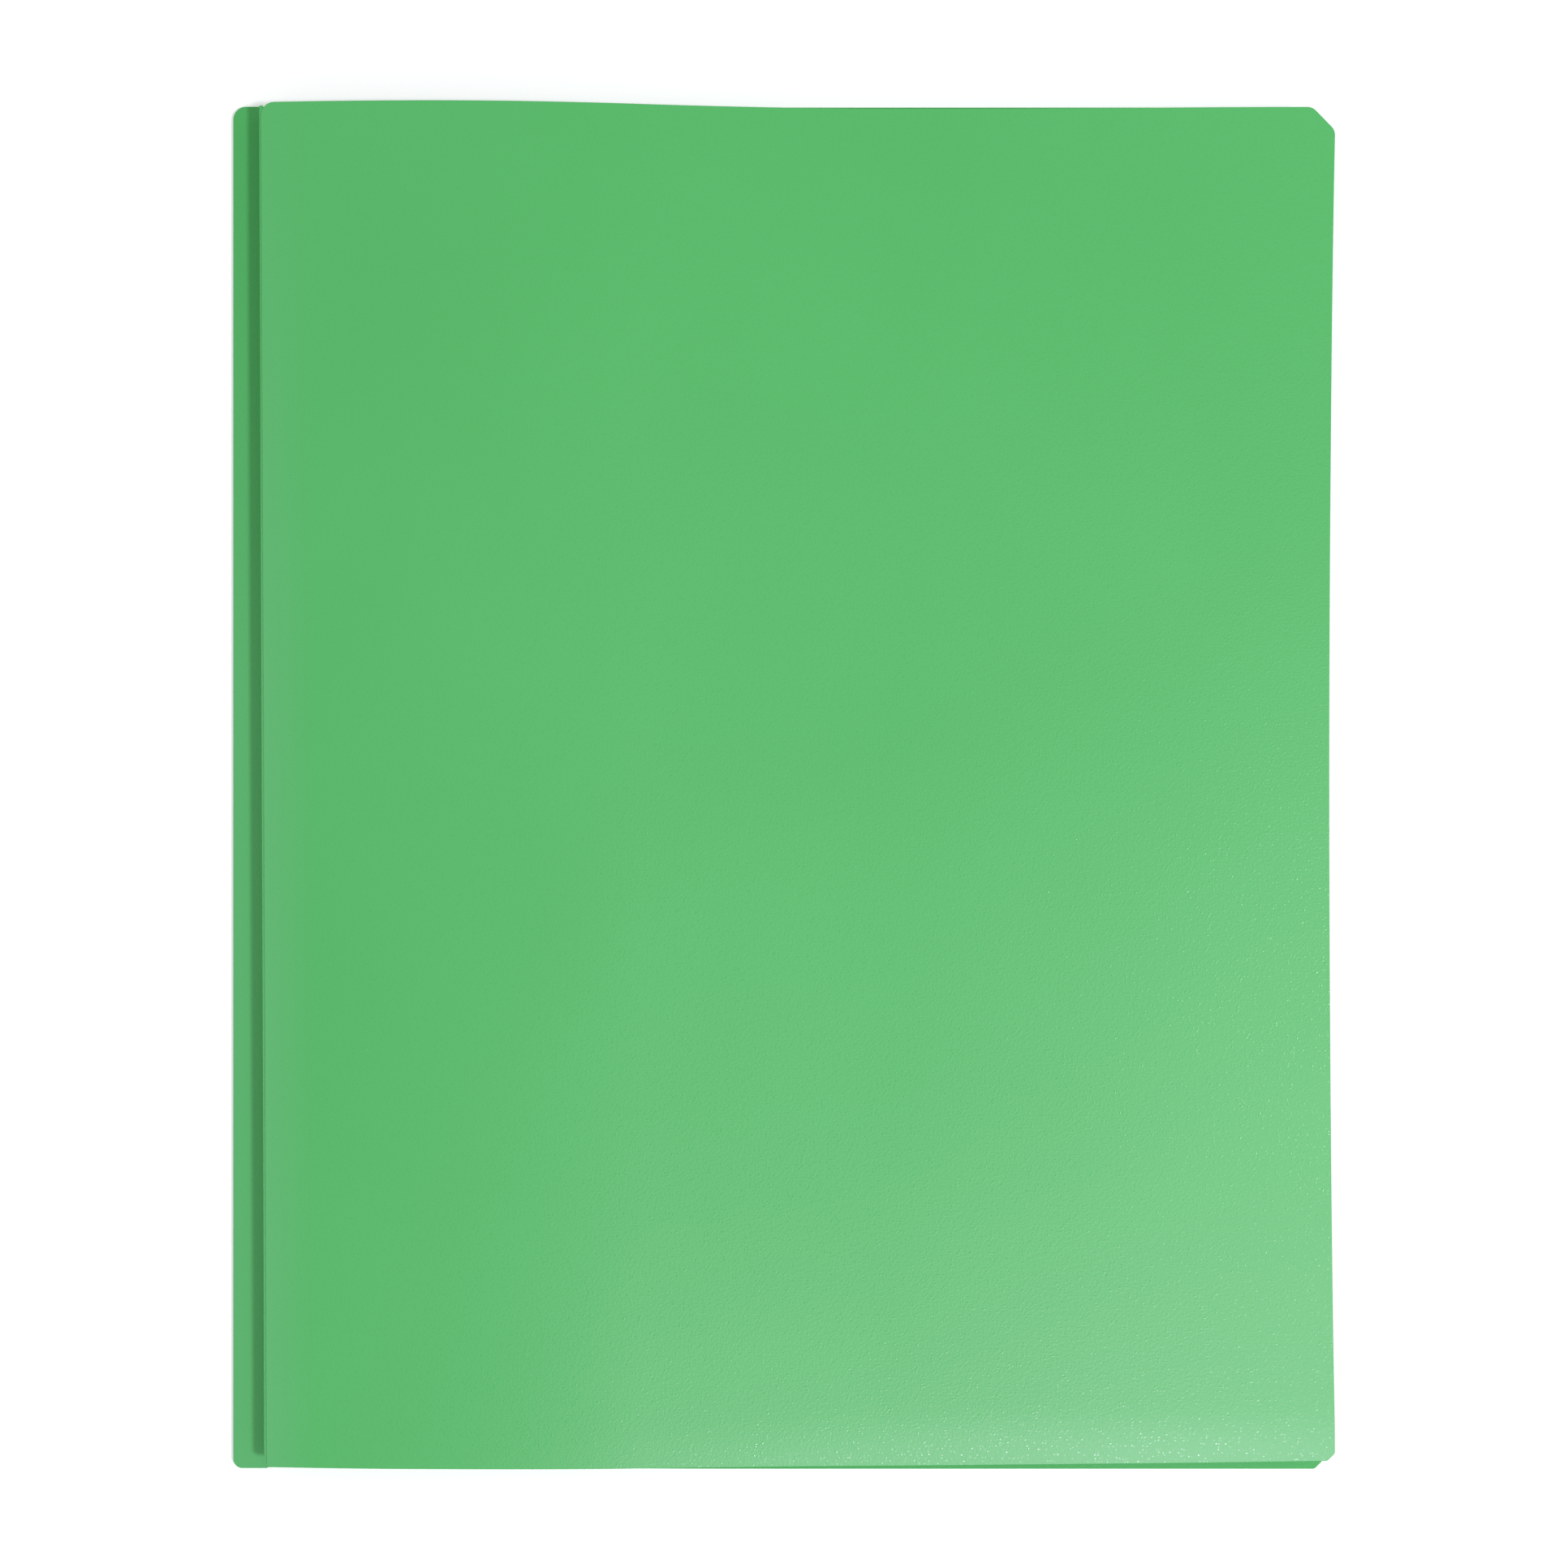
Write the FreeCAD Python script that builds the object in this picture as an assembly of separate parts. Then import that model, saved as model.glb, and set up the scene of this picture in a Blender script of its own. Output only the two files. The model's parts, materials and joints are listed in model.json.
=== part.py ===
import FreeCAD, Part
import math
import os

os.makedirs("parts", exist_ok=True)

# Frame: Z up, the album lies on its back cover with the spine at -X and its head at +Y.
# The origin is the middle of the album's footprint, on the surface it lies on.

# Cover, millimetres
album_width = 237.0
back_height = 295.0
front_height = 291.0
front_shift_y = 0.7
back_setback = 1.2
sheet = 0.6
weld_strip_width = 6.5
front_edge_inset = 7.7
spine_corner_radius = 2.4
foot_corner_radius = 2.2
head_corner_radius = 6.0

# Bow of the closed front cover: a crown beside the spine, a valley, then a flat lip
cover_top = 10.0
crest_inset = 46.5
crown_radius = 560.0
crown_run = 42.0
valley_radius = 711.0
lip_radius = 12000.0

# Living hinges of the cover
crease_bead_radius = 0.35
crease_slit = 0.1
crease_rise = 0.05
spine_end_trim = 1.5
spine_end_slant = 1.2

# Pockets welded inside the covers
pocket_height = 106.0
pocket_sheet = 0.35
pocket_seam = 2.0
back_pocket_gap = 0.2
front_pocket_gap = 0.25
pocket_edge_inset = 4.0
back_pocket_left = -78.0
front_pocket_left = -96.0

# Leaves: letter-size stock cards on three-hole binding strips
leaf_count = 6
leaf_width = 215.9
leaf_height = 279.4
leaf_left = -110.2
leaf_corner_radius = 3.0
card = 0.35
film = 0.09
leaf_pitch = 0.58
stack_bottom = 1.5
binding_strip_width = 20.5
hinge_gap = 8.0
tape_overlap = 3.5
tape = 0.1
hole_radius = 3.57
hole_inset = 12.7
hole_pitch = 107.95

# Clear strips on each page
strip_rows = 7
strip_height = 35.0
strip_pitch = 38.6
strip_side_margin = 6.0
strip_hinge_margin = 8.0

# Double-tang fasteners and the strip that holds them to the back cover
holder_width = 20.0
holder_length = 280.0
holder_sheet = 0.5
holder_rail_width = 2.5
holder_rail_height = 0.35
tang = 0.3
tang_width = 5.0
tang_leg = 22.0
tang_base_width = 12.0
tang_base_length = 16.0
tang_slot_play = 0.4
tang_bend = 0.3

left = -album_width / 2
right = album_width / 2
back_right = right - back_setback
hole_x = leaf_left + hole_inset
binding_right = leaf_left + binding_strip_width
card_left = binding_right + hinge_gap
leaf_right = leaf_left + leaf_width
hole_ys = [-hole_pitch, 0.0, hole_pitch]
front_foot = front_shift_y - front_height / 2
front_head = front_shift_y + front_height / 2

# Creases: A joins the weld strip to the spine panel, B joins the spine panel to the front cover
crease_a_x = left + weld_strip_width
crease_a_z = 2 * sheet + crease_rise
crease_b_x = left + front_edge_inset
crest_x = left + crest_inset
crown_centre_z = cover_top - crown_radius
crease_b_z = crown_centre_z + math.sqrt(crown_radius**2 - (crest_x - crease_b_x) ** 2)
spine_lean = math.atan2(crease_b_z - crease_a_z, crease_b_x - crease_a_x)
spine_length = math.hypot(crease_b_x - crease_a_x, crease_b_z - crease_a_z)


def point(x, z):
    return FreeCAD.Vector(x, 0, z)


def block(x0, x1, y0, y1, z0, z1):
    return Part.makeBox(x1 - x0, y1 - y0, z1 - z0, FreeCAD.Vector(x0, y0, z0))


# A solid from an outline in the XZ plane, run along Y
def extrude_outline(edges, y0, y1):
    face = Part.Face(Part.Wire(edges))
    face.translate(FreeCAD.Vector(0, y0, 0))
    return face.extrude(FreeCAD.Vector(0, y1 - y0, 0))


def line_outline(points):
    return [Part.LineSegment(a, b).toShape() for a, b in zip(points, points[1:] + points[:1])]


# A flat plate with its own radius at each corner
def rounded_plate(x0, x1, y0, y1, z0, z1, foot_left, foot_right, head_right, head_left):
    corners = [
        (x0, y0, foot_left, 180),
        (x1, y0, foot_right, 270),
        (x1, y1, head_right, 0),
        (x0, y1, head_left, 90),
    ]
    arcs = []
    for x, y, radius, start in corners:
        centre_x = x + radius if x == x0 else x - radius
        centre_y = y + radius if y == y0 else y - radius
        middle = FreeCAD.Vector(centre_x, centre_y, z0)
        steps = [math.radians(start + turn) for turn in (0, 45, 90)]
        arcs.append([middle + FreeCAD.Vector(math.cos(a), math.sin(a), 0) * radius for a in steps])
    edges = []
    for arc, following in zip(arcs, arcs[1:] + arcs[:1]):
        edges.append(Part.Arc(*arc).toShape())
        edges.append(Part.LineSegment(arc[2], following[0]).toShape())
    return Part.Face(Part.Wire(edges)).extrude(FreeCAD.Vector(0, 0, z1 - z0))


# Three tangent arcs of the closed front cover, a depth below its outer face, from x0 to x1
def bowed_curve(depth, x0, x1):
    crown = crown_radius - depth
    valley = valley_radius + depth
    lip = lip_radius + depth
    turn = math.asin(crown_run / crown_radius)
    start = math.asin((x0 - crest_x) / crown)
    valley_x = crest_x + (crown_radius + valley_radius) * math.sin(turn)
    valley_z = crown_centre_z + (crown_radius + valley_radius) * math.cos(turn)
    lip_z = valley_z - valley_radius + lip_radius
    end = math.asin((x1 - valley_x) / lip)

    def on_crown(angle):
        return point(crest_x + crown * math.sin(angle), crown_centre_z + crown * math.cos(angle))

    def on_valley(angle):
        return point(valley_x - valley * math.sin(angle), valley_z - valley * math.cos(angle))

    def on_lip(angle):
        return point(valley_x + lip * math.sin(angle), lip_z - lip * math.cos(angle))

    return [
        [on_crown(start), on_crown((start + turn) / 2), on_crown(turn)],
        [on_valley(turn), on_valley(turn / 2), on_valley(0)],
        [on_lip(0), on_lip(end / 2), on_lip(end)],
    ]


# A sheet that follows the bow of the front cover
def bowed_sheet(depth, thickness, x0, x1, y0, y1):
    outer = bowed_curve(depth, x0, x1)
    inner = bowed_curve(depth + thickness, x0, x1)
    edges = [Part.Arc(*arc).toShape() for arc in outer]
    edges.append(Part.LineSegment(outer[-1][2], inner[-1][2]).toShape())
    edges += [Part.Arc(*reversed(arc)).toShape() for arc in reversed(inner)]
    edges.append(Part.LineSegment(inner[0][0], outer[0][0]).toShape())
    return extrude_outline(edges, y0, y1)


def back_cover():
    return rounded_plate(
        left, back_right, -back_height / 2, back_height / 2, 0, sheet,
        spine_corner_radius, foot_corner_radius, head_corner_radius, spine_corner_radius,
    )


def spine_weld_strip():
    plate = rounded_plate(
        left, back_right, -back_height / 2, back_height / 2, sheet, 2 * sheet,
        spine_corner_radius, foot_corner_radius, head_corner_radius, spine_corner_radius,
    )
    strip_right = crease_a_x - crease_bead_radius - crease_slit
    return plate.common(block(left, strip_right, -back_height, back_height, 0, cover_top))


# The steep panel between the two creases, with a round bead on each crease line
def spine_panel():
    along = point(math.cos(spine_lean), math.sin(spine_lean))
    inward = point(math.sin(spine_lean), -math.cos(spine_lean))
    foot = point(crease_a_x, crease_a_z)
    top = point(crease_b_x, crease_b_z)
    mitre = sheet * math.tan(spine_lean / 2) + crease_slit
    outline = [foot, top, top + inward * sheet - along * mitre, foot + inward * sheet]
    panel = extrude_outline(line_outline(outline), front_foot, front_head)
    for crease in (foot, top):
        start = FreeCAD.Vector(crease.x, front_foot, crease.z)
        bead = Part.makeCylinder(crease_bead_radius, front_height, start, FreeCAD.Vector(0, 1, 0))
        panel = panel.fuse(bead)
    # The ends slant, and stop short of the covers' corners
    near = front_foot + spine_end_trim + spine_end_slant
    far = front_head - spine_end_trim - spine_end_slant
    side = [
        FreeCAD.Vector(left, near, 0),
        FreeCAD.Vector(crease_b_x + crease_bead_radius, near - spine_end_slant, 0),
        FreeCAD.Vector(crease_b_x + crease_bead_radius, far + spine_end_slant, 0),
        FreeCAD.Vector(left, far, 0),
    ]
    ends = Part.Face(Part.Wire(line_outline(side))).extrude(FreeCAD.Vector(0, 0, 2 * cover_top))
    return panel.common(ends).removeSplitter()


def front_cover():
    start = crease_b_x + crease_bead_radius + crease_slit
    bowed = bowed_sheet(0, sheet, start, right, front_foot, front_head)
    outline = rounded_plate(
        start, right, front_foot, front_head, 0, 2 * cover_top,
        spine_corner_radius, foot_corner_radius, head_corner_radius, spine_corner_radius,
    )
    return bowed.common(outline)


# A sheet welded to the back cover along its foot and both sides, open at its head
def back_pocket():
    foot = -back_height / 2 + pocket_edge_inset
    head = foot + pocket_height
    fore = back_right - pocket_edge_inset
    seam_top = sheet + back_pocket_gap
    side_foot = foot + pocket_seam
    return Part.makeCompound([
        block(back_pocket_left, fore, foot, head, seam_top, seam_top + pocket_sheet),
        block(back_pocket_left, fore, foot, side_foot, sheet, seam_top),
        block(back_pocket_left, back_pocket_left + pocket_seam, side_foot, head, sheet, seam_top),
        block(fore - pocket_seam, fore, side_foot, head, sheet, seam_top),
    ])


# The same pocket inside the front cover, following its bow
def front_pocket():
    foot = front_foot + pocket_edge_inset
    head = foot + pocket_height
    fore = right - pocket_edge_inset
    panel = bowed_sheet(sheet + front_pocket_gap, pocket_sheet, front_pocket_left, fore, foot, head)
    filler = bowed_sheet(sheet, front_pocket_gap, front_pocket_left, fore, foot, head)
    side_foot = foot + pocket_seam
    seams = [
        block(front_pocket_left, fore, foot, side_foot, 0, cover_top),
        block(front_pocket_left, front_pocket_left + pocket_seam, side_foot, head, 0, cover_top),
        block(fore - pocket_seam, fore, side_foot, head, 0, cover_top),
    ]
    return Part.makeCompound([panel] + [filler.common(seam) for seam in seams])


# A shallow channel welded along the back cover, slotted for the three fasteners
def fastener_holder():
    x0 = hole_x - holder_width / 2
    x1 = hole_x + holder_width / 2
    y0 = -holder_length / 2
    y1 = holder_length / 2
    rail_top = sheet + holder_rail_height
    channel = block(x0, x1, y0, y1, sheet, rail_top + holder_sheet)
    channel = channel.cut(block(x0 + holder_rail_width, x1 - holder_rail_width, y0, y1, sheet, rail_top))
    slot_x = tang_width / 2 + tang_slot_play
    slot_y = tang + tang_slot_play
    for y in hole_ys:
        channel = channel.cut(block(hole_x - slot_x, hole_x + slot_x, y - slot_y, y + slot_y, 0, cover_top))
    return channel


# A stamped base with two legs that come up through the leaves and fold apart over them
def tang_fastener(y):
    base_bottom = sheet + (holder_rail_height - tang) / 2
    x0 = hole_x - tang_width / 2
    x1 = hole_x + tang_width / 2
    leg_bottom = leaf_bottom(1) + film + card + tang_bend / 5
    shank_top = leg_bottom - tang_bend
    shape = block(
        hole_x - tang_base_width / 2, hole_x + tang_base_width / 2,
        y - tang_base_length / 2, y + tang_base_length / 2, base_bottom, base_bottom + tang,
    )
    for way in (-1, 1):
        shank = block(x0, x1, min(0, way * tang), max(0, way * tang), base_bottom, shank_top)
        bend_y = way * (tang + tang_bend)
        bend_axis = FreeCAD.Vector(x0, bend_y, shank_top)
        bend = Part.makeCylinder(tang_bend + tang, tang_width, bend_axis, FreeCAD.Vector(1, 0, 0))
        bend = bend.cut(Part.makeCylinder(tang_bend, tang_width, bend_axis, FreeCAD.Vector(1, 0, 0)))
        bend = bend.common(block(x0, x1, min(0, bend_y), max(0, bend_y), shank_top, cover_top))
        tip = way * (tang_leg - tang_width / 2)
        leg = block(x0, x1, min(bend_y, tip), max(bend_y, tip), leg_bottom, leg_bottom + tang)
        round_tip = Part.makeCylinder(tang_width / 2, tang, FreeCAD.Vector(hole_x, tip, leg_bottom))
        half = shank.fuse([bend, leg, round_tip])
        half.translate(FreeCAD.Vector(0, y, 0))
        shape = shape.fuse(half)
    return shape.removeSplitter()


# Underside of a leaf in the closed album; leaf 1 is the top one
def leaf_bottom(number):
    return stack_bottom + leaf_pitch * (leaf_count - number)


def binding_strip(number):
    z = leaf_bottom(number) + film
    strip = rounded_plate(
        leaf_left, binding_right, -leaf_height / 2, leaf_height / 2, z, z + card,
        leaf_corner_radius, card, card, leaf_corner_radius,
    )
    for y in hole_ys:
        strip = strip.cut(Part.makeCylinder(hole_radius, card, FreeCAD.Vector(hole_x, y, z)))
    return strip


def leaf_card(number):
    z = leaf_bottom(number) + film
    return rounded_plate(
        card_left, leaf_right, -leaf_height / 2, leaf_height / 2, z, z + card,
        card, leaf_corner_radius, leaf_corner_radius, card,
    )


def hinge_tape(number):
    z = leaf_bottom(number) + film + card
    half = leaf_height / 2 - leaf_corner_radius
    return block(binding_right - tape_overlap, card_left + tape_overlap, -half, half, z, z + tape)


# One page's rows of clear strips, each a separate film
def clear_strips(z):
    x0 = card_left + strip_hinge_margin
    x1 = leaf_right - strip_side_margin
    rows = []
    for row in range(strip_rows):
        middle = (row - (strip_rows - 1) / 2) * strip_pitch
        rows.append(block(x0, x1, middle - strip_height / 2, middle + strip_height / 2, z, z + film))
    return Part.makeCompound(rows)


def write_leaf(number):
    z = leaf_bottom(number)
    name = f"leaf_{number}"
    pieces[f"{name}_binding_strip"] = binding_strip(number)
    pieces[f"{name}_hinge_tape"] = hinge_tape(number)
    pieces[f"{name}_card"] = leaf_card(number)
    pieces[f"{name}_front_strips"] = clear_strips(z + film + card)
    pieces[f"{name}_back_strips"] = clear_strips(z)


pieces = {
    "back_cover": back_cover(),
    "spine_weld_strip": spine_weld_strip(),
    "spine_panel": spine_panel(),
    "front_cover": front_cover(),
    "back_pocket": back_pocket(),
    "front_pocket": front_pocket(),
    "fastener_holder": fastener_holder(),
}
for place, y in zip(("bottom", "middle", "top"), hole_ys):
    pieces[f"tang_{place}"] = tang_fastener(y)
for leaf in range(1, leaf_count + 1):
    write_leaf(leaf)

for name, shape in pieces.items():
    shape.exportStep(f"parts/{name}.step")

tang_top_z = leaf_bottom(1) + film + card + tang_bend / 5 + tang
print("crease A", round(crease_a_x, 3), round(crease_a_z, 3))
print("crease B", round(crease_b_x, 3), round(crease_b_z, 3))
print("spine lean", round(math.degrees(spine_lean), 3), "panel", round(spine_length, 3))
print("leaf axis x", round((binding_right + card_left) / 2, 3), "tang top z", round(tang_top_z, 3))
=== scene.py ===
import bpy
import json
import math
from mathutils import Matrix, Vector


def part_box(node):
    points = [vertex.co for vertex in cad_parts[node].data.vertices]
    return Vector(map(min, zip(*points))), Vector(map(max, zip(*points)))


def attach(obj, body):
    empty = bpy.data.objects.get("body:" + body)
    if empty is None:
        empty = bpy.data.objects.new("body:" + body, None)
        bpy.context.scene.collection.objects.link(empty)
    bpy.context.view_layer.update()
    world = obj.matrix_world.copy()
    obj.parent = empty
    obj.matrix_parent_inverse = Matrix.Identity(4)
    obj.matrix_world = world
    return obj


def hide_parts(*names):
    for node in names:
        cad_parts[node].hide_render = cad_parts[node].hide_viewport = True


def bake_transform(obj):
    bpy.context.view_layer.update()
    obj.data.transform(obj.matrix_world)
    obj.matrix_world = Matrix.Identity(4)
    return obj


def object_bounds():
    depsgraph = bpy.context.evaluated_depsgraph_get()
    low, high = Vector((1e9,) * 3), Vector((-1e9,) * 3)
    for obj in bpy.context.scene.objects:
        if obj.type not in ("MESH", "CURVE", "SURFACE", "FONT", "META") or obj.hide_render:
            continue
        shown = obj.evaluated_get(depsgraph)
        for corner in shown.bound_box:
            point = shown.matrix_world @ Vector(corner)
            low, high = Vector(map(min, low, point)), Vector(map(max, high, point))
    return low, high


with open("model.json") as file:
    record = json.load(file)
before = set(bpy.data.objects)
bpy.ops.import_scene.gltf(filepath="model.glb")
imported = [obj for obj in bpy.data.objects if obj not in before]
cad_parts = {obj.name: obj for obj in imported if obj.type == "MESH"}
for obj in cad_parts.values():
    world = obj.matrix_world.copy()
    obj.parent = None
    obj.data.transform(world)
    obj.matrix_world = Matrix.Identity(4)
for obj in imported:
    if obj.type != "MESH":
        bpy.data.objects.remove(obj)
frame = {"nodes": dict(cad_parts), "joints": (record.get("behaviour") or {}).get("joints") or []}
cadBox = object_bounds()
mm = 0.001
sharpAngle = math.radians(50)  # edges sharper than this stay crisp
plasticIor = 1.49
print("frame loaded:", len(frame["nodes"]), "nodes")


# helpers for working in edit mode without a window

def clearSelection():
    if bpy.context.object and bpy.context.object.mode != "OBJECT":
        bpy.ops.object.mode_set(mode="OBJECT")
    bpy.ops.object.select_all(action="DESELECT")


def makeActive(piece):
    clearSelection()
    piece.select_set(True)
    bpy.context.view_layer.objects.active = piece


def applyAll(piece):
    makeActive(piece)
    for name in [m.name for m in piece.modifiers]:
        bpy.ops.object.modifier_apply(modifier=name)


def flatSheet(name, x0, x1, y0, y1, xCuts, yCuts):  # a grid of quads lying at z = 0
    clearSelection()
    bpy.ops.mesh.primitive_grid_add(x_subdivisions=xCuts, y_subdivisions=yCuts, size=1)
    piece = bpy.context.object
    piece.name = name
    piece.scale = (x1 - x0, y1 - y0, 1)
    piece.location = ((x0 + x1) / 2, (y0 + y1) / 2, 0)
    bpy.ops.object.transform_apply(location=True, rotation=True, scale=True)
    return piece


def roundCorner(piece, x, y, reach, turn, flat=0, cuts=9):  # flat 0 is a round, 1 a straight cut
    xSign = math.copysign(1, math.cos(math.radians(turn + 45)))
    ySign = math.copysign(1, math.sin(math.radians(turn + 45)))
    centre = (x - xSign * reach, y - ySign * reach)
    makeActive(piece)
    bpy.ops.object.mode_set(mode="EDIT")
    for step in range(cuts):
        local = math.radians(90 * (step + 0.5) / cuts)
        out = reach * (1 - flat + flat * max(math.cos(local), math.sin(local)))
        angle = math.radians(turn) + local
        normal = (math.cos(angle), math.sin(angle), 0)
        bpy.ops.mesh.select_all(action="SELECT")
        bpy.ops.mesh.bisect(
            plane_co=(centre[0] + out * normal[0], centre[1] + out * normal[1], 0),
            plane_no=normal, clear_outer=True, threshold=1e-7,
        )
    bpy.ops.mesh.select_all(action="SELECT")
    bpy.ops.mesh.remove_doubles(threshold=2e-5)
    bpy.ops.object.mode_set(mode="OBJECT")


def moveVerts(piece, place):  # pushes every point to where the sheet bends
    for vert in piece.data.vertices:
        vert.co = place(vert.co.x, vert.co.y)
    piece.data.update()


def thicken(piece, thickness, edge):  # the sheet's own thickness below its outer face, edges softened
    solid = piece.modifiers.new("thickness", "SOLIDIFY")
    solid.thickness = thickness
    solid.offset = -1
    soft = piece.modifiers.new("softEdge", "BEVEL")
    soft.width = edge
    soft.segments = 2
    soft.limit_method = "ANGLE"
    soft.angle_limit = sharpAngle
    soft.harden_normals = True
    makeActive(piece)
    bpy.ops.object.shade_smooth()
    applyAll(piece)


def ease(t):
    t = min(1, max(0, t))
    return t * t * (3 - 2 * t)


def finishPiece(piece, material):
    piece.data.materials.clear()
    piece.data.materials.append(material)


# shader groups

def newGroup(name, inputs, outputs):
    group = bpy.data.node_groups.new(name, "ShaderNodeTree")
    for label, kind, value in inputs:
        socket = group.interface.new_socket(name=label, in_out="INPUT", socket_type=kind)
        if value is not None:
            socket.default_value = value
    for label, kind in outputs:
        group.interface.new_socket(name=label, in_out="OUTPUT", socket_type=kind)
    start = group.nodes.new("NodeGroupInput")
    end = group.nodes.new("NodeGroupOutput")
    return group, start, end


def noiseNode(tree, vector, scale, detail=3, rough=0.55):
    node = tree.nodes.new("ShaderNodeTexNoise")
    node.inputs["Scale"].default_value = scale
    node.inputs["Detail"].default_value = detail
    node.inputs["Roughness"].default_value = rough
    tree.links.new(vector, node.inputs["Vector"])
    return node


def mapRange(tree, value, low, high, toLow, toHigh):
    node = tree.nodes.new("ShaderNodeMapRange")
    node.inputs["From Min"].default_value = low
    node.inputs["From Max"].default_value = high
    node.inputs["To Min"].default_value = toLow
    node.inputs["To Max"].default_value = toHigh
    tree.links.new(value, node.inputs["Value"])
    return node.outputs["Result"]


def mathNode(tree, operation, a, b):
    node = tree.nodes.new("ShaderNodeMath")
    node.operation = operation
    for socket, value in zip(node.inputs, (a, b)):
        if isinstance(value, (int, float)):
            socket.default_value = value
        else:
            tree.links.new(value, socket)
    return node.outputs[0]


def mixColor(tree, factor, a, b):
    node = tree.nodes.new("ShaderNodeMix")
    node.data_type = "RGBA"
    tree.links.new(factor, node.inputs["Factor"])
    for socket, value in ((node.inputs[6], a), (node.inputs[7], b)):
        if isinstance(value, tuple):
            socket.default_value = value
        else:
            tree.links.new(value, socket)
    return node.outputs[2]


# sandEmboss: the pressed sand grain of a plastic cover, a fine ripple with scattered raised grains
sandShape = {
    "grain": 1500.0,  # cells in a metre
    "picked": (0.42, 0.66),  # which cells carry a raised grain
    "dome": (0.08, 0.42),
    "grainHeight": 0.3,
    "rippleScale": 1900,
    "rippleDetail": 3,
    "rippleRough": 0.6,
}


def sandEmbossGroup():
    spec = sandShape
    group, start, end = newGroup(
        "sandEmboss",
        [("Vector", "NodeSocketVector", None), ("Grain", "NodeSocketFloat", spec["grain"])],
        [("Height", "NodeSocketFloat"), ("Grains", "NodeSocketFloat")],
    )
    vector = start.outputs["Vector"]
    cells = group.nodes.new("ShaderNodeTexVoronoi")
    group.links.new(vector, cells.inputs["Vector"])
    group.links.new(start.outputs["Grain"], cells.inputs["Scale"])
    picked = mapRange(group, cells.outputs["Color"], *spec["picked"], 0, 1)
    dome = mapRange(group, cells.outputs["Distance"], *spec["dome"], 1, 0)
    grains = mathNode(group, "MULTIPLY", picked, dome)
    ripple = noiseNode(group, vector, spec["rippleScale"], spec["rippleDetail"], spec["rippleRough"])
    raised = mathNode(group, "MULTIPLY", grains, spec["grainHeight"])
    height = mathNode(group, "ADD", raised, ripple.outputs["Fac"])
    group.links.new(height, end.inputs["Height"])
    group.links.new(grains, end.inputs["Grains"])
    return group


# handling: broad smudges and fine scuffs left by use
handlingShape = {
    "smudgeScale": 14,
    "smudge": (0.3, 0.7),
    "scuffTurn": (0, 0, 0.6),
    "scuffStretch": (900, 30, 900),
    "scuff": (0.68, 0.8),
}


def handlingGroup():
    spec = handlingShape
    group, start, end = newGroup(
        "handling",
        [("Vector", "NodeSocketVector", None)],
        [("Smudge", "NodeSocketFloat"), ("Scuff", "NodeSocketFloat")],
    )
    vector = start.outputs["Vector"]
    broad = noiseNode(group, vector, spec["smudgeScale"], 4)
    group.links.new(mapRange(group, broad.outputs["Fac"], *spec["smudge"], 0, 1), end.inputs["Smudge"])
    stretch = group.nodes.new("ShaderNodeMapping")
    stretch.inputs["Rotation"].default_value = spec["scuffTurn"]
    stretch.inputs["Scale"].default_value = spec["scuffStretch"]
    group.links.new(vector, stretch.inputs["Vector"])
    scratch = noiseNode(group, stretch.outputs["Vector"], 1, 2)
    group.links.new(mapRange(group, scratch.outputs["Fac"], *spec["scuff"], 0, 1), end.inputs["Scuff"])
    return group


# fibres: matted paper fibre for card
fibreShape = {"stretch": (1500, 420, 1500), "detail": 4, "rough": 0.7, "fleck": (0.62, 0.72)}


def fibreGroup():
    spec = fibreShape
    group, start, end = newGroup(
        "fibres",
        [("Vector", "NodeSocketVector", None)],
        [("Height", "NodeSocketFloat"), ("Fleck", "NodeSocketFloat")],
    )
    vector = start.outputs["Vector"]
    stretch = group.nodes.new("ShaderNodeMapping")
    stretch.inputs["Scale"].default_value = spec["stretch"]
    group.links.new(vector, stretch.inputs["Vector"])
    strands = noiseNode(group, stretch.outputs["Vector"], 1, spec["detail"], spec["rough"])
    group.links.new(strands.outputs["Fac"], end.inputs["Height"])
    group.links.new(mapRange(group, strands.outputs["Fac"], *spec["fleck"], 0, 1), end.inputs["Fleck"])
    return group


# bookCloth: crossed threads of a woven tape
weaveShape = {"scale": 700, "wander": 0.6}


def bookClothGroup():
    group, start, end = newGroup(
        "bookCloth",
        [("Vector", "NodeSocketVector", None)],
        [("Height", "NodeSocketFloat")],
    )
    vector = start.outputs["Vector"]
    waves = []
    for direction in ("X", "Y"):
        wave = group.nodes.new("ShaderNodeTexWave")
        wave.bands_direction = direction
        wave.inputs["Scale"].default_value = weaveShape["scale"]
        wave.inputs["Distortion"].default_value = weaveShape["wander"]
        group.links.new(vector, wave.inputs["Vector"])
        waves.append(wave.outputs["Fac"])
    group.links.new(mathNode(group, "MAXIMUM", waves[0], waves[1]), end.inputs["Height"])
    return group


sandEmboss = sandEmbossGroup()
handling = handlingGroup()
fibres = fibreGroup()
bookCloth = bookClothGroup()
print("shader groups ready")


# materials

def newMaterial(name):
    material = bpy.data.materials.new(name)
    material.use_nodes = True
    tree = material.node_tree
    shader = tree.nodes["Principled BSDF"]
    coords = tree.nodes.new("ShaderNodeTexCoord").outputs["Object"]
    return material, tree, shader, coords


def placeGroup(tree, group, vector, **values):
    node = tree.nodes.new("ShaderNodeGroup")
    node.node_tree = group
    tree.links.new(vector, node.inputs["Vector"])
    for label, value in values.items():
        node.inputs[label].default_value = value
    return node.outputs


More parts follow.
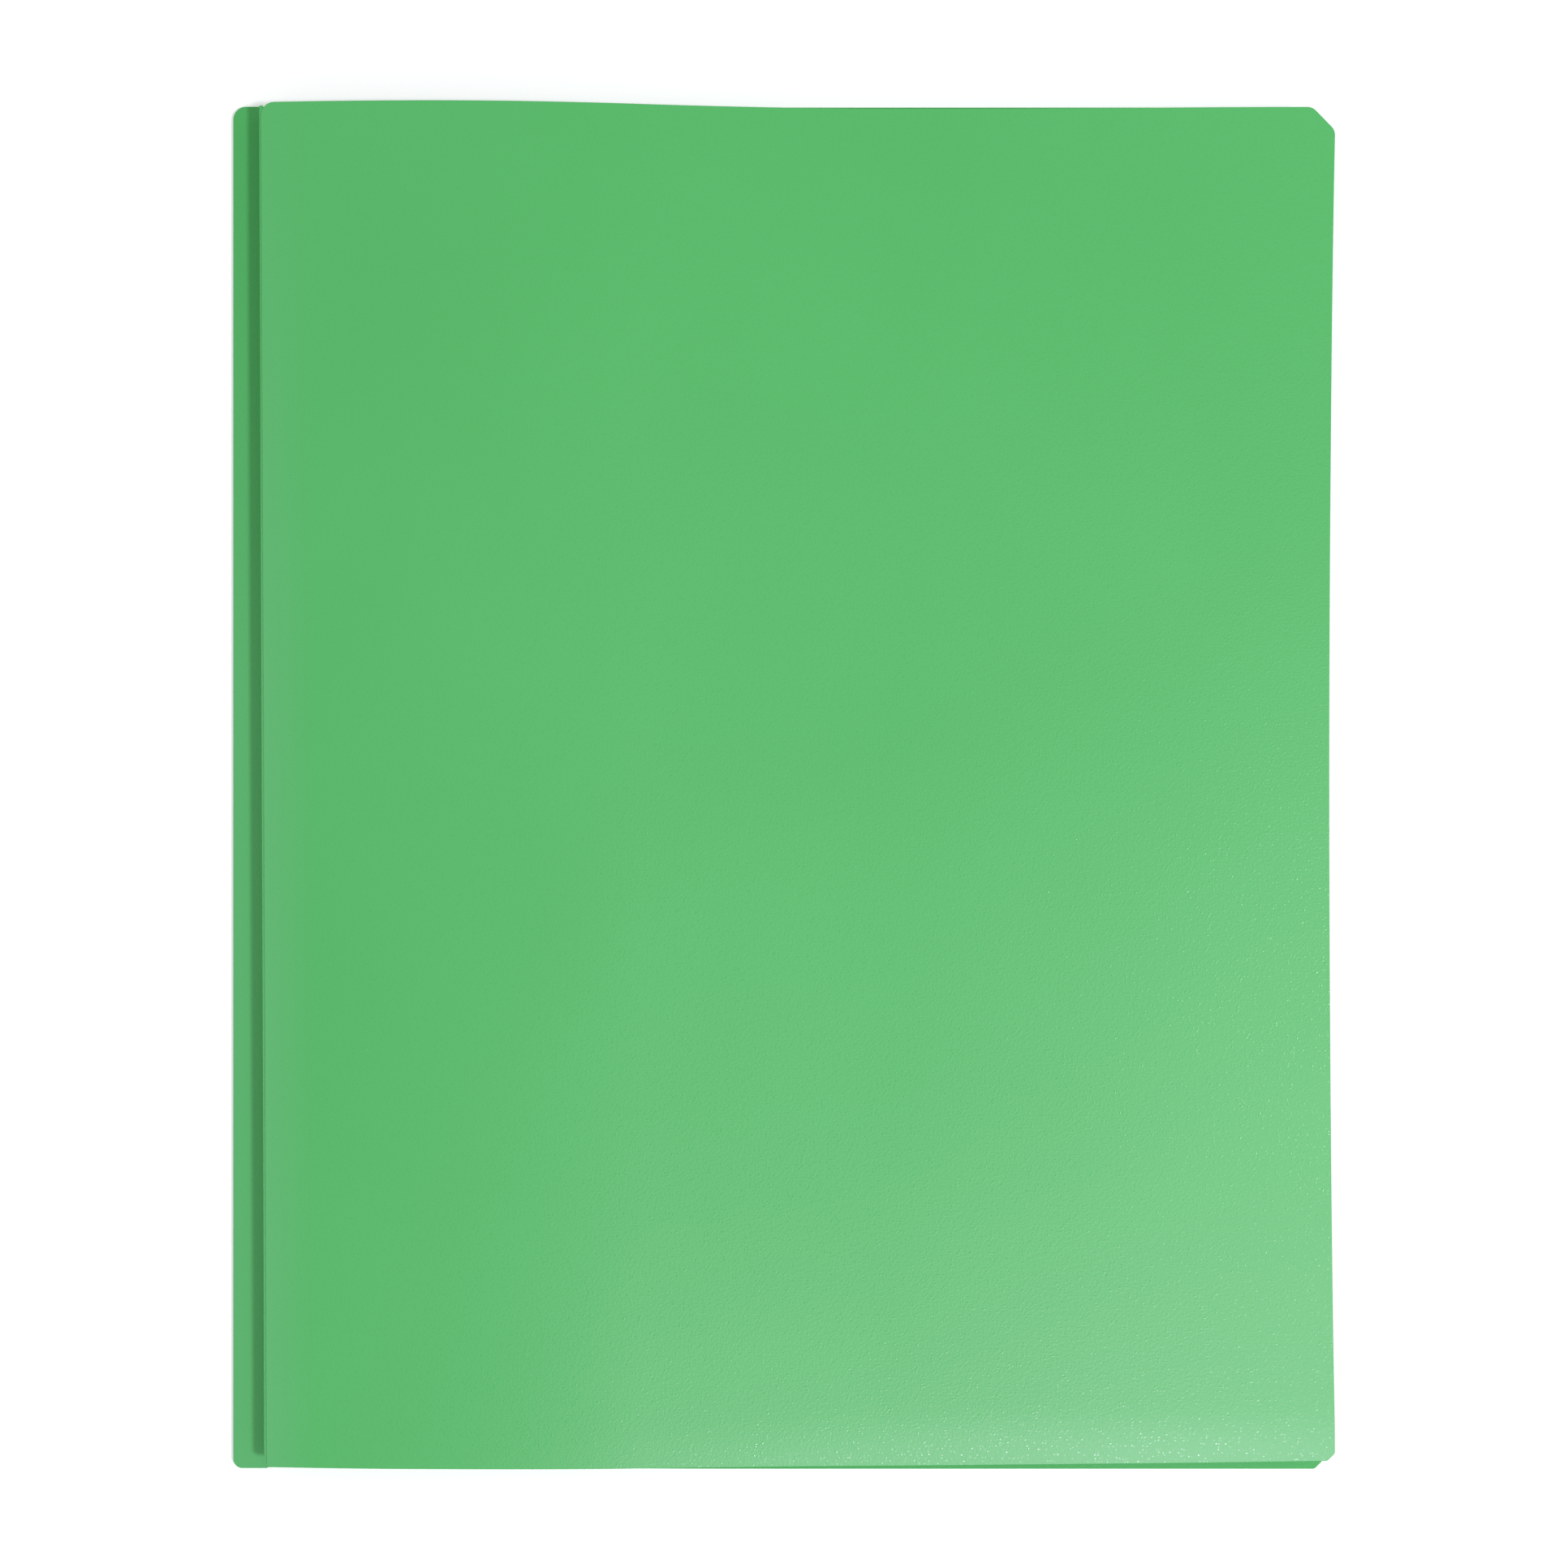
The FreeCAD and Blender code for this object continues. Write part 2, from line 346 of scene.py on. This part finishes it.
def addBump(tree, shader, height, strength, distance):
    bump = tree.nodes.new("ShaderNodeBump")
    bump.inputs["Strength"].default_value = strength
    bump.inputs["Distance"].default_value = distance
    tree.links.new(height, bump.inputs["Height"])
    tree.links.new(bump.outputs["Normal"], shader.inputs["Normal"])


coverFinish = {
    "green": (0.088, 0.487, 0.132, 1),
    "paleGreen": (0.095, 0.504, 0.141, 1),
    "stressPaleAndSheen": (0.122, 0.494, 0.174, 1),  # paler near the spine: part stress whitening where the sheet bends, part painted sheen standing in for the lamp's gloss on the lit flange
    "paintedHeadShade": (0.066, 0.405, 0.102, 1),  # painted shade: the flange darkens towards the head
    "stressSheenStart": -110.8 * mm,
    "stressSheenEnd": -99 * mm,
    "fadeFrom": 20 * mm,  # both tones change from here to the head
    "fadeTo": 145 * mm,
    "fadeLeft": 0.35,
    "bump": 0.48,
    "bumpDepth": 0.00010,
    "roughLow": 0.17,
    "roughHigh": 0.42,
    "scuffShine": 0.06,
    "gloss": 0.30,
}


def embossedGreen(name, grainShare, stressSheenShare, glossShare, headShadeShare=0):
    spec = coverFinish
    material, tree, shader, coords = newMaterial(name)
    grain = placeGroup(tree, sandEmboss, coords, Grain=sandShape["grain"])
    wear = placeGroup(tree, handling, coords)
    color = mixColor(tree, wear["Smudge"], spec["green"], spec["paleGreen"])
    place = tree.nodes.new("ShaderNodeSeparateXYZ")
    tree.links.new(coords, place.inputs["Vector"])
    # painted sheen and stress whitening: the green pales near the spine edge, and the paling fades towards
    # the head
    stressSheen = mapRange(tree, place.outputs["X"], spec["stressSheenStart"], spec["stressSheenEnd"], stressSheenShare, 0)
    headward = (place.outputs["Y"], spec["fadeFrom"], spec["fadeTo"])
    fade = mapRange(tree, *headward, 1, spec["fadeLeft"])
    stressSheen = mathNode(tree, "MULTIPLY", stressSheen, fade)
    color = mixColor(tree, stressSheen, color, spec["stressPaleAndSheen"])
    # painted shade: the green darkens towards the head, on the flange and spine panel
    headShadeMask = mapRange(tree, *headward, 0, headShadeShare)
    color = mixColor(tree, headShadeMask, color, spec["paintedHeadShade"])
    tree.links.new(color, shader.inputs["Base Color"])
    rough = mapRange(tree, grain["Grains"], 0, 1, spec["roughHigh"], spec["roughLow"])
    rough = mathNode(tree, "SUBTRACT", rough, mathNode(tree, "MULTIPLY", wear["Scuff"], spec["scuffShine"]))
    tree.links.new(rough, shader.inputs["Roughness"])
    addBump(tree, shader, grain["Height"], spec["bump"] * grainShare, spec["bumpDepth"])
    shader.inputs["IOR"].default_value = plasticIor
    shader.inputs["Specular IOR Level"].default_value = spec["gloss"] * glossShare
    return material


smoothFinish = {"rough": (0.28, 0.40), "rippleScale": 160, "bump": 0.15, "bumpDepth": 0.0003}


def smoothGreen(name, color, paleColor):
    spec = smoothFinish
    material, tree, shader, coords = newMaterial(name)
    wear = placeGroup(tree, handling, coords)
    tree.links.new(mixColor(tree, wear["Smudge"], color, paleColor), shader.inputs["Base Color"])
    rough = mapRange(tree, wear["Smudge"], 0, 1, *spec["rough"])
    tree.links.new(rough, shader.inputs["Roughness"])
    ripple = noiseNode(tree, coords, spec["rippleScale"], 3)
    addBump(tree, shader, ripple.outputs["Fac"], spec["bump"], spec["bumpDepth"])
    shader.inputs["IOR"].default_value = plasticIor
    return material


cardFinish = {
    "black": (0.012, 0.012, 0.013, 1),
    "fleck": (0.030, 0.030, 0.032, 1),
    "rough": (0.72, 0.9),
    "bump": 0.3,
    "bumpDepth": 0.00008,
}


def blackCard():
    spec = cardFinish
    material, tree, shader, coords = newMaterial("blackCard")
    fibre = placeGroup(tree, fibres, coords)
    color = mixColor(tree, fibre["Fleck"], spec["black"], spec["fleck"])
    tree.links.new(color, shader.inputs["Base Color"])
    tree.links.new(mapRange(tree, fibre["Height"], 0.2, 0.8, *spec["rough"]), shader.inputs["Roughness"])
    addBump(tree, shader, fibre["Height"], spec["bump"], spec["bumpDepth"])
    return material


tapeFinish = {
    "between": (0.010, 0.010, 0.011, 1),
    "thread": (0.045, 0.045, 0.048, 1),
    "rough": (0.95, 0.8),
    "bump": 0.5,
    "bumpDepth": 0.0001,
}


def clothTape():
    spec = tapeFinish
    material, tree, shader, coords = newMaterial("clothTape")
    weave = placeGroup(tree, bookCloth, coords)
    color = mixColor(tree, weave["Height"], spec["between"], spec["thread"])
    tree.links.new(color, shader.inputs["Base Color"])
    tree.links.new(mapRange(tree, weave["Height"], 0, 1, *spec["rough"]), shader.inputs["Roughness"])
    addBump(tree, shader, weave["Height"], spec["bump"], spec["bumpDepth"])
    return material


filmFinish = {
    "tint": (0.97, 0.985, 1.0, 1),
    "rough": (0.06, 0.13),
    "ior": 1.52,
    "sagScale": 22,
    "bump": 0.25,
    "bumpDepth": 0.0006,
}


def clearFilm():
    spec = filmFinish
    material, tree, shader, coords = newMaterial("clearFilm")
    wear = placeGroup(tree, handling, coords)
    shader.inputs["Base Color"].default_value = spec["tint"]
    tree.links.new(mapRange(tree, wear["Smudge"], 0, 1, *spec["rough"]), shader.inputs["Roughness"])
    shader.inputs["Transmission Weight"].default_value = 1.0
    shader.inputs["IOR"].default_value = spec["ior"]
    sag = noiseNode(tree, coords, spec["sagScale"], 1)
    addBump(tree, shader, sag.outputs["Fac"], spec["bump"], spec["bumpDepth"])
    return material


steelFinish = {
    "dull": (0.70, 0.67, 0.60, 1),
    "bright": (0.80, 0.77, 0.70, 1),
    "rough": (0.26, 0.42),
    "fineScale": 900,
    "bump": 0.15,
    "bumpDepth": 0.00005,
}


def tinnedSteel():
    spec = steelFinish
    material, tree, shader, coords = newMaterial("tinnedSteel")
    wear = placeGroup(tree, handling, coords)
    color = mixColor(tree, wear["Smudge"], spec["dull"], spec["bright"])
    tree.links.new(color, shader.inputs["Base Color"])
    shader.inputs["Metallic"].default_value = 1.0
    tree.links.new(mapRange(tree, wear["Scuff"], 0, 1, *spec["rough"]), shader.inputs["Roughness"])
    fine = noiseNode(tree, coords, spec["fineScale"], 2)
    addBump(tree, shader, fine.outputs["Fac"], spec["bump"], spec["bumpDepth"])
    return material


frontGreen = embossedGreen("frontGreen", grainShare=1.0, stressSheenShare=1.0, glossShare=1.0)
# painted light: a less glossy copy of the cover green for the flange and spine panel, so the shadow band on
# the flange stays dark; it also carries the painted sheen and the painted head shade
backGreen = embossedGreen("backGreen", grainShare=1.0, stressSheenShare=1.0, glossShare=0.5, headShadeShare=0.4)
# painted shade: a copy of the cover green with less gloss, so the back cover's strip below the front
# cover's edge looks shaded
shadedRestGreen = embossedGreen("shadedRestGreen", grainShare=1.0, stressSheenShare=0.7, glossShare=0.2)
creaseGreen = embossedGreen("pressedCreaseGreen", grainShare=0.2, stressSheenShare=0.5, glossShare=0.5)
pocketGreen = smoothGreen("pocketGreen", (0.095, 0.46, 0.14, 1), (0.110, 0.50, 0.16, 1))
holderGreen = smoothGreen("holderGreen", (0.075, 0.39, 0.115, 1), (0.090, 0.43, 0.13, 1))
card = blackCard()
tapeCloth = clothTape()
film = clearFilm()
tin = tinnedSteel()
print("materials ready")


# front cover: one bowed sheet with cut fore-edge corners

joints = {j["name"]: j for j in frame["joints"]}
creaseA = joints["back_crease"]["pos_m"]
creaseB = joints["front_crease"]["pos_m"]
frontLow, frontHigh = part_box("front_cover")
backLow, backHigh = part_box("back_cover")
sheetThickness = backHigh[2] - backLow[2]

bow = {
    "crestInset": 46.5 * mm,  # from the album's spine edge
    "top": 10.0 * mm,
    "crownRadius": 560 * mm,
    "crownRun": 42 * mm,
    "valleyRadius": 711 * mm,
    "lipRadius": 12000 * mm,
}
coverEdge = {  # shared by both covers and the flange
    "soft": 0.14 * mm,
    "spineHead": 2.8 * mm,
    "foreFoot": 2.0 * mm,
    "foreHead": 6.1 * mm,
    "foreFlat": 0.55,
}
frontShape = {
    "cuts": (110, 130),
    "spineFoot": 0.9 * mm,
    "foreHollow": 1.15 * mm,  # the fore-edge is drawn in at its middle
    "hollowPower": 1.8,
    "cornerLift": 0.9 * mm,
    "liftPower": 7,
    "spineSkew": 0.6 * mm,  # the spine edge leans a little across the back cover
    "spineShift": 0.2 * mm,
    "footRise": 1.45 * mm,  # the foot edge sags at its middle and rises to the fore-edge corner
    "risePower": 1.3,
    "footSag": 0.5 * mm,
    "spineFootRise": 0.15 * mm,
    "headDrop": 0.7 * mm,
    "footCurl": 0.72 * mm,  # the foot edge rolls down a little and catches the light
    "curlRun": 12.0 * mm,
    "curlPower": 2.2,
}
edgeRuns = {  # where each change starts and how far it runs, as shares of the cover's width
    "foreHollow": (0.55, 0.45),
    "spineSkew": (0, 0.5),
    "footRise": (0.58, 0.42),
    "footSag": (0.15, 0.35),
    "spineFootRise": (0, 0.5),
    "headDrop": (0.15, 0.45),
    "cornerLift": (0.6, 0.4),
    "footCurl": (0.22, 0.45),
}


def bowHeight(x):
    crestX = cadBox[0][0] + bow["crestInset"]
    turn = math.asin(bow["crownRun"] / bow["crownRadius"])
    valleyX = crestX + (bow["crownRadius"] + bow["valleyRadius"]) * math.sin(turn)
    crownZ = bow["top"] - bow["crownRadius"]
    valleyZ = crownZ + (bow["crownRadius"] + bow["valleyRadius"]) * math.cos(turn)
    if x < crestX + bow["crownRun"]:
        return crownZ + math.sqrt(bow["crownRadius"] ** 2 - (x - crestX) ** 2)
    if x < valleyX:
        return valleyZ - math.sqrt(bow["valleyRadius"] ** 2 - (x - valleyX) ** 2)
    return valleyZ - bow["valleyRadius"] + (x - valleyX) ** 2 / (2 * bow["lipRadius"])


def upShare(y):  # -1 at the foot, 1 at the head
    return 2 * (y - frontLow[1]) / (frontHigh[1] - frontLow[1]) - 1


def runShare(along, change):
    start, run = edgeRuns[change]
    return (along - start) / run


def spineSkewAt(y):  # the cover's spine edge leans, and the panel's top edge with it
    return frontShape["spineShift"] - frontShape["spineSkew"] * upShare(y)


def frontPlace(x, y):
    spec = frontShape
    along = (x - frontLow[0]) / (frontHigh[0] - frontLow[0])
    up = upShare(y)
    toFoot = max(0, -up)
    middle = 1 - abs(up) ** spec["hollowPower"]
    newX = x - spec["foreHollow"] * middle * ease(runShare(along, "foreHollow"))
    newX += spineSkewAt(y) * (1 - ease(runShare(along, "spineSkew")))
    newY = y + spec["footRise"] * max(0, runShare(along, "footRise")) ** spec["risePower"] * toFoot
    newY -= spec["footSag"] * ease(runShare(along, "footSag")) * toFoot
    newY += spec["spineFootRise"] * (1 - ease(runShare(along, "spineFootRise"))) * toFoot
    newY -= spec["headDrop"] * ease(runShare(along, "headDrop")) * max(0, up)
    lift = spec["cornerLift"] * ease(runShare(along, "cornerLift")) * abs(up) ** spec["liftPower"]
    inward = (y - frontLow[1]) / spec["curlRun"]
    curl = spec["footCurl"] * max(0, 1 - inward) ** spec["curlPower"] * ease(runShare(along, "footCurl"))
    return (newX, newY, bowHeight(x) + lift - curl)


def roundCorners(piece, low, high, spineFoot):
    spec = coverEdge
    roundCorner(piece, low[0], low[1], spineFoot, 180)
    roundCorner(piece, high[0], low[1], spec["foreFoot"], 270, spec["foreFlat"])
    roundCorner(piece, high[0], high[1], spec["foreHead"], 0, spec["foreFlat"])
    roundCorner(piece, low[0], high[1], spec["spineHead"], 90)


def buildFrontCover():
    spec = frontShape
    piece = flatSheet("frontCover", frontLow[0], frontHigh[0], frontLow[1], frontHigh[1], *spec["cuts"])
    roundCorners(piece, frontLow, frontHigh, spec["spineFoot"])
    moveVerts(piece, frontPlace)
    thicken(piece, sheetThickness, coverEdge["soft"])
    finishPiece(piece, frontGreen)
    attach(piece, "cover")
    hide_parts("front_cover")
    return piece


frontCover = buildFrontCover()
print("front cover:", len(frontCover.data.polygons), "faces")


# back cover: the flat sheet that the album lies on

backShape = {
    "cuts": (60, 72),
    "spineFoot": 2.0 * mm,
    "footRise": 0.33 * mm,  # the foot edge rises a little towards the spine
}


def backFootAt(x, y):
    return y + backShape["footRise"] * ease(x / backLow[0]) * max(0, y / backLow[1])


def buildBackCover():
    spec = backShape
    piece = flatSheet("backCover", backLow[0], backHigh[0], backLow[1], backHigh[1], *spec["cuts"])
    roundCorners(piece, backLow, backHigh, spec["spineFoot"])
    moveVerts(piece, lambda x, y: (x, backFootAt(x, y), backHigh[2]))
    thicken(piece, sheetThickness, coverEdge["soft"])
    finishPiece(piece, shadedRestGreen)
    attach(piece, "base")
    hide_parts("back_cover")


buildBackCover()
print("back cover done")


# spine: the welded flange, the steep panel, and the two thin creases

spineShape = {
    "flangeCuts": 12,
    "panelCuts": 14,
    "alongCuts": 150,
    "flangeTuck": 0.9 * mm,  # the flange runs on under the panel's foot
    "panelTop": 0.97,  # the panel stops short of the front cover
    "panelHollow": 0.12 * mm,
    "endTrim": 0.7 * mm,
    "webThickness": 0.28 * mm,
    "webReach": 0.8 * mm,  # how far each crease runs into the sheets beside it
    "webRound": 0.25 * mm,
}


def buildFlange():
    spec = spineShape
    low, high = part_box("spine_weld_strip")
    fold = creaseA[0] + spec["flangeTuck"]
    piece = flatSheet("spineFlange", low[0], fold, low[1], high[1], spec["flangeCuts"], spec["alongCuts"])
    roundCorner(piece, low[0], low[1], backShape["spineFoot"], 180)
    roundCorner(piece, low[0], high[1], coverEdge["spineHead"], 90)
    moveVerts(piece, lambda x, y: (x, backFootAt(x, y), high[2]))
    thicken(piece, high[2] - low[2], coverEdge["soft"])
    finishPiece(piece, backGreen)
    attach(piece, "base")
    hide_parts("spine_weld_strip")


def spineEnds():
    return frontLow[1] + spineShape["endTrim"], frontHigh[1] - spineShape["endTrim"]


def panelPoint(share, depth):  # a point between the creases, a depth below the outer face
    runX = creaseB[0] - creaseA[0]
    runZ = creaseB[2] - creaseA[2]
    length = math.hypot(runX, runZ)
    inward = depth + spineShape["panelHollow"] * 4 * share * (1 - share)
    return (
        creaseA[0] + share * runX + inward * runZ / length,
        creaseA[2] + share * runZ - inward * runX / length,
    )


def buildSpinePanel():
    spec = spineShape
    low, high = spineEnds()
    piece = flatSheet("spinePanel", 0, spec["panelTop"], low, high, spec["panelCuts"], spec["alongCuts"])

    def place(x, y):
        across, rise = panelPoint(x, 0)
        return (across + x * spineSkewAt(y), y, rise)

    moveVerts(piece, place)
    thicken(piece, sheetThickness, coverEdge["soft"])
    finishPiece(piece, backGreen)
    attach(piece, "spine")
    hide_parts("spine_panel")


def creasePath(first, corner, last, radius, steps=9):  # two straight runs joined by a round bend
    toFirst = math.atan2(first[1] - corner[1], first[0] - corner[0])
    toLast = math.atan2(last[1] - corner[1], last[0] - corner[0])
    reach = radius / math.tan(abs(toFirst - toLast) / 2)
    start = (corner[0] + reach * math.cos(toFirst), corner[1] + reach * math.sin(toFirst))
    end = (corner[0] + reach * math.cos(toLast), corner[1] + reach * math.sin(toLast))
    path = [first]
    for step in range(steps + 1):
        t = step / steps
        path.append((
            (1 - t) ** 2 * start[0] + 2 * t * (1 - t) * corner[0] + t * t * end[0],
            (1 - t) ** 2 * start[1] + 2 * t * (1 - t) * corner[1] + t * t * end[1],
        ))
    return path + [last]


def buildCrease(name, path, skewShare):
    spec = spineShape
    low, high = spineEnds()
    piece = flatSheet(name, 0, len(path) - 1, low, high, len(path) - 1, spec["alongCuts"])

    def place(x, y):
        across, rise = path[round(x)]
        return (across + skewShare * spineSkewAt(y), y, rise)

    moveVerts(piece, place)
    solid = piece.modifiers.new("thickness", "SOLIDIFY")
    solid.thickness = spec["webThickness"]
    solid.offset = 0
    applyAll(piece)
    bpy.ops.object.shade_smooth_by_angle(angle=sharpAngle)
    finishPiece(piece, creaseGreen)
    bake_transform(piece)


def buildCreases():
    spec = spineShape
    half = sheetThickness / 2
    reachShare = spec["webReach"] / math.hypot(creaseB[0] - creaseA[0], creaseB[2] - creaseA[2])
    flangeZ = backHigh[2] + half
    foot = panelPoint(0, half)
    footUp = panelPoint(reachShare, half)
    buildCrease(
        "backCrease",
        creasePath((creaseA[0] - spec["webReach"], flangeZ), (foot[0], flangeZ), footUp, spec["webRound"]),
        0,
    )
    topX = creaseB[0] + spec["webReach"]
    buildCrease(
        "frontCrease",
        creasePath(
            panelPoint(1 - reachShare, half),
            (panelPoint(1, half)[0], creaseB[2] - half),
            (topX, bowHeight(topX) - half),
            spec["webRound"],
        ),
        1,
    )


buildFlange()
buildSpinePanel()
buildCreases()
print("spine done")


# leaf hinges: a strip of woven tape for each leaf

tapeShape = {"acrossCuts": 30, "alongCuts": 40, "edge": 0.02 * mm, "leaves": 6}


def buildTape():
    spec = tapeShape
    low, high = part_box("leaf_1_hinge_tape")
    piece = flatSheet("leafTape1", low[0], high[0], low[1], high[1], spec["acrossCuts"], spec["alongCuts"])
    moveVerts(piece, lambda x, y: (x, y, high[2]))
    thicken(piece, high[2] - low[2], spec["edge"])
    return piece


def copyTape(first, number):
    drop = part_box(f"leaf_{number}_hinge_tape")[1][2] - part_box("leaf_1_hinge_tape")[1][2]
    makeActive(first)
    bpy.ops.object.duplicate()
    piece = bpy.context.object
    piece.name = f"leafTape{number}"
    bpy.ops.transform.translate(value=(0, 0, drop))
    bpy.ops.object.transform_apply(location=True, rotation=True, scale=True)
    return piece


def hangTape(piece, number):
    node = f"leaf_{number}_hinge_tape"
    finishPiece(piece, tapeCloth)
    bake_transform(piece)
    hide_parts(node)


def buildTapes():
    first = buildTape()
    tapes = [first] + [copyTape(first, number) for number in range(2, tapeShape["leaves"] + 1)]
    for number, piece in enumerate(tapes, 1):
        hangTape(piece, number)


buildTapes()
print("leaf hinges done")


# CAD nodes that are right as they are get their finish

def dressNodes():
    for name, node in frame["nodes"].items():
        if "pocket" in name:
            finish = pocketGreen
        elif name == "fastener_holder":
            finish = holderGreen
        elif name.startswith("tang"):
            finish = tin
        elif name.endswith("tape"):
            finish = tapeCloth
        elif name.startswith("leaf") and name.endswith("strips"):
            finish = film
        elif name.startswith("leaf"):
            finish = card
        else:
            finish = backGreen
        node.data.materials.clear()
        node.data.materials.append(finish)


dressNodes()
print("CAD nodes dressed")


# stage: pale floor, soft light, camera straight above

stage = {
    "floorSize": 16.0,
    "floorDrop": 0.12 * mm,
    "floorColor": (0.86, 0.86, 0.86, 1),
    "floorRough": 0.9,
    "floorGlow": 0.30,
    "farGlow": 0.62,  # the floor turns plain white away from the album and its shadow
    "glowFrom": 0.35,
    "glowTo": 1.5,
    "worldLight": 0.58,
    "keyPlace": (0.570, -0.205, 1.160),
    "keySize": 0.16,
    "keyPower": 7.5,
    "keyColor": (0.93, 0.965, 1.0),
    "glarePlace": (0.165, -0.405, 0.520),
    "glareSize": (0.27, 0.06),
    "glarePower": 4.3,
    "glareColor": (1.0, 0.80, 1.10),
}
cameraSpec = {
    "place": (0.7 * mm, 0.9 * mm, 480 * mm),
    "lens": 50.8,
    "sensor": 36.0,
    "clipStart": 0.01,
}


def seenRays(tree):  # 1 where the eye, a reflection or clear film sees the surface
    path = tree.nodes.new("ShaderNodeLightPath")
    seen = mathNode(tree, "MAXIMUM", path.outputs["Is Camera Ray"], path.outputs["Is Glossy Ray"])
    return mathNode(tree, "MAXIMUM", seen, path.outputs["Is Transmission Ray"])


def paleFloor():
    material, tree, shader, coords = newMaterial("paleFloor")
    shader.inputs["Base Color"].default_value = stage["floorColor"]
    shader.inputs["Roughness"].default_value = stage["floorRough"]
    away = tree.nodes.new("ShaderNodeVectorMath")
    away.operation = "LENGTH"
    tree.links.new(coords, away.inputs[0])
    glow = mapRange(
        tree, away.outputs["Value"],
        stage["glowFrom"], stage["glowTo"],
        stage["floorGlow"], stage["farGlow"],
    )
    shader.inputs["Emission Color"].default_value = (1, 1, 1, 1)
    tree.links.new(mathNode(tree, "MULTIPLY", seenRays(tree), glow), shader.inputs["Emission Strength"])
    return material


def addLamp(name, place, power, color):
    clearSelection()
    bpy.ops.object.light_add(type="AREA", location=place)
    lamp = bpy.context.object
    lamp.name = name
    lamp.data.energy = power
    lamp.data.color = color
    lamp.visible_camera = False
    aim = -lamp.location.normalized()
    lamp.rotation_euler = aim.to_track_quat("-Z", "Y").to_euler()
    return lamp


def buildStage():
    clearSelection()
    bpy.ops.mesh.primitive_plane_add(size=stage["floorSize"], location=(0, 0, -stage["floorDrop"]))
    floor = bpy.context.object
    floor.name = "floor"
    floor.data.materials.append(paleFloor())
    world = bpy.data.worlds.new("softRoom")
    world.use_nodes = True
    tree = world.node_tree
    background = tree.nodes["Background"]
    background.inputs["Color"].default_value = (1, 1, 1, 1)
    shown = mapRange(tree, seenRays(tree), 0, 1, stage["worldLight"], 1)
    tree.links.new(shown, background.inputs["Strength"])
    bpy.context.scene.world = world
    key = addLamp("keyLight", stage["keyPlace"], stage["keyPower"], stage["keyColor"])
    key.data.shape = "DISK"
    key.data.size = stage["keySize"]
    glare = addLamp("glareLight", stage["glarePlace"], stage["glarePower"], stage["glareColor"])
    glare.data.shape = "RECTANGLE"
    glare.data.size, glare.data.size_y = stage["glareSize"]
    glare.visible_diffuse = False


def buildCamera():
    clearSelection()
    bpy.ops.object.camera_add(location=cameraSpec["place"], rotation=(0, 0, 0))
    camera = bpy.context.object
    camera.data.lens = cameraSpec["lens"]
    camera.data.sensor_width = cameraSpec["sensor"]
    camera.data.clip_start = cameraSpec["clipStart"]
    bpy.context.scene.camera = camera


buildStage()
buildCamera()
bpy.context.scene.view_settings.view_transform = "Standard"
clearSelection()
